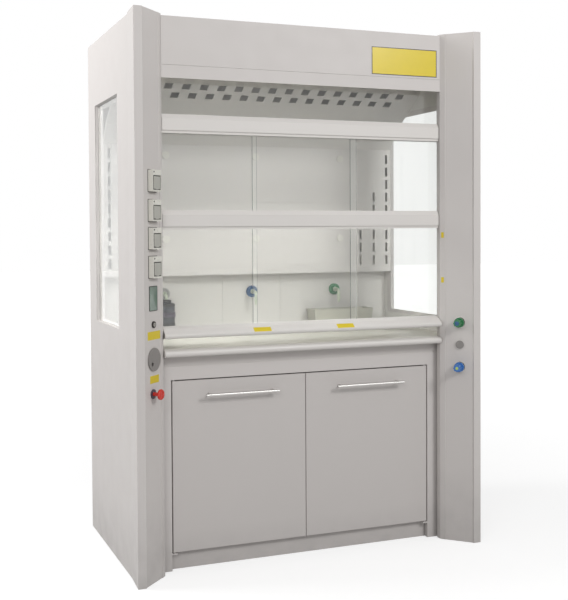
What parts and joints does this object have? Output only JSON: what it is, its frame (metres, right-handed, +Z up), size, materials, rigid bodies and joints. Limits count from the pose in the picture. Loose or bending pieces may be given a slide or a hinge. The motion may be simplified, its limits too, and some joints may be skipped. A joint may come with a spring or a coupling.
{
  "type": "fume hood",
  "caption": "Walk-up laboratory fume hood with a counterweighted sash of sliding panes, slotted baffles, wall taps, trough, controls on bevelled posts and a two-door base cabinet",
  "frame": {"origin": "centre of the bounding box in plan, on the floor", "axes": "+Z up, the front with its sash and doors faces -Y, +X to the right seen from the front"},
  "size_m": [1.5172, 0.8908, 2.25],
  "materials": {
    "coat": "smooth matt powder coat, warm light grey",
    "panel": "hard laminate sheet, light grey",
    "worktop": "cast resin, pale cream",
    "profile": "coated extrusion, light grey",
    "glass": "clear safety glass",
    "trough": "moulded plastic, pale green-grey",
    "disc": "moulded, coloured",
    "pipe": "epoxy-coated tube, pale",
    "jar": "smoked vessel in a dark band",
    "carcass": "melamine-faced board, light grey",
    "belt": "moulded belt, black",
    "guide": "nylon, off-white",
    "weight": "sawn flat bar, dark",
    "shaft": "drawn rod",
    "socket": "moulded, off-white",
    "lid": "moulded, grey",
    "screen": "liquid-crystal panel, grey-green",
    "dark": "moulded, dark grey",
    "grommet": "moulded, mid grey",
    "red": "moulded, red",
    "lock": "plated",
    "green": "moulded, green",
    "blue": "moulded, blue",
    "pull": "satin"
  },
  "bodies": {
    "hood": {"side_panel_left": "coat", "side_panel_right": "coat", "side_liners": "panel", "window_frames": "coat", "window_panes": "glass", "corner_post_left": "coat", "corner_post_right": "coat", "header_panels": "coat", "roof_panel": "coat", "duct_collar": "coat", "back_panel": "coat", "rear_liner": "panel", "baffle_panels": "panel", "baffle_upper": "panel", "baffle_studs": "panel", "ceiling_panel": "coat", "light_glass": "glass", "light_unit": "coat", "upper_glass": "glass", "worktop": "worktop", "worktop_frame": "coat", "front_sill": "profile", "sink_trough": "trough", "tap_discs": "disc", "tap_pipes": "pipe", "trap_jar": "jar", "face_frame": "coat", "cabinet_sides": "carcass", "cabinet_base": "carcass", "sash_guides": "guide", "belts": "belt", "belt_shoes": "guide", "shaft_bearings": "guide", "socket_boxes": "socket", "display": "screen", "key_switch": "lock", "cable_grommet": "grommet", "stop_collar": "dark", "valve_bodies": "lock", "blank_plug": "grommet"},
    "sash": {"sash_stiles": "profile", "sash_rails": "profile"},
    "pane_left": {"sash_pane_left": "glass"},
    "pane_centre": {"sash_pane_centre": "glass"},
    "pane_right": {"sash_pane_right": "glass"},
    "weight_left": {"counterweight_left": "weight"},
    "weight_right": {"counterweight_right": "weight"},
    "drive": {"drive_shaft": "shaft"},
    "left_door": {"door_left": "carcass", "pull_left": "pull"},
    "right_door": {"door_right": "carcass", "pull_right": "pull"},
    "lid_1": {"socket_lid_1": "lid"},
    "lid_2": {"socket_lid_2": "lid"},
    "lid_3": {"socket_lid_3": "lid"},
    "lid_4": {"socket_lid_4": "lid"},
    "stop": {"stop_button": "red"},
    "key": {"key_barrel": "lock"},
    "water_knob": {"knob_water": "green"},
    "air_knob": {"knob_air": "blue"}
  },
  "joints": [
    {"name": "sash_lift", "type": "slide", "parent": "hood", "child": "sash", "axis": [0, 0, 1], "range_m": [0, 0.37]},
    {"name": "weight_left_run", "type": "slide", "parent": "hood", "child": "weight_left", "axis": [0, 0, 1], "range_m": [-0.37, 0]},
    {"name": "weight_right_run", "type": "slide", "parent": "hood", "child": "weight_right", "axis": [0, 0, 1], "range_m": [-0.37, 0]},
    {"name": "drive_turn", "type": "hinge", "parent": "hood", "child": "drive", "pos_m": [0, -0.23261, 2.13], "axis": [-1, 0, 0], "range_deg": [0, 620]},
    {"name": "pane_left_slide", "type": "slide", "parent": "sash", "child": "pane_left", "axis": [1, 0, 0], "range_m": [0, 0.898]},
    {"name": "pane_centre_slide", "type": "slide", "parent": "sash", "child": "pane_centre", "axis": [1, 0, 0], "range_m": [-0.449, 0.449]},
    {"name": "pane_right_slide", "type": "slide", "parent": "sash", "child": "pane_right", "axis": [1, 0, 0], "range_m": [-0.898, 0]},
    {"name": "door_left_hinge", "type": "hinge", "parent": "hood", "child": "left_door", "pos_m": [-0.57, -0.28361, 0.4], "axis": [0, 0, -1], "range_deg": [0, 105]},
    {"name": "door_right_hinge", "type": "hinge", "parent": "hood", "child": "right_door", "pos_m": [0.57, -0.28361, 0.4], "axis": [0, 0, 1], "range_deg": [0, 105]},
    {"name": "lid_1_hinge", "type": "hinge", "parent": "hood", "child": "lid_1", "pos_m": [-0.66431, -0.39979, 1.5625], "axis": [-0.7071, -0.7071, 0], "range_deg": [0, 95]},
    {"name": "lid_2_hinge", "type": "hinge", "parent": "hood", "child": "lid_2", "pos_m": [-0.66431, -0.39979, 1.4495], "axis": [-0.7071, -0.7071, 0], "range_deg": [0, 95]},
    {"name": "lid_3_hinge", "type": "hinge", "parent": "hood", "child": "lid_3", "pos_m": [-0.66431, -0.39979, 1.3425], "axis": [-0.7071, -0.7071, 0], "range_deg": [0, 95]},
    {"name": "lid_4_hinge", "type": "hinge", "parent": "hood", "child": "lid_4", "pos_m": [-0.66431, -0.39979, 1.233], "axis": [-0.7071, -0.7071, 0], "range_deg": [0, 95]},
    {"name": "stop_push", "type": "slide", "parent": "hood", "child": "stop", "axis": [-0.7071, 0.7071, 0], "range_m": [0, 0.004]},
    {"name": "key_turn", "type": "hinge", "parent": "hood", "child": "key", "pos_m": [-0.67775, -0.38635, 0.996], "axis": [0.7071, -0.7071, 0], "range_deg": [0, 90]},
    {"name": "water_turn", "type": "hinge", "parent": "hood", "child": "water_knob", "pos_m": [0.6629, -0.41393, 0.952], "axis": [-0.7071, -0.7071, 0], "range_deg": [0, 180]},
    {"name": "air_turn", "type": "hinge", "parent": "hood", "child": "air_knob", "pos_m": [0.6629, -0.41393, 0.76], "axis": [-0.7071, -0.7071, 0], "range_deg": [0, 180]}
  ],
  "couplings": [
    {"joint": "weight_left_run", "follows": "sash_lift", "ratio": -1},
    {"joint": "weight_right_run", "follows": "sash_lift", "ratio": -1},
    {"joint": "drive_turn", "follows": "sash_lift", "rad_per_m": 29.24}
  ]
}
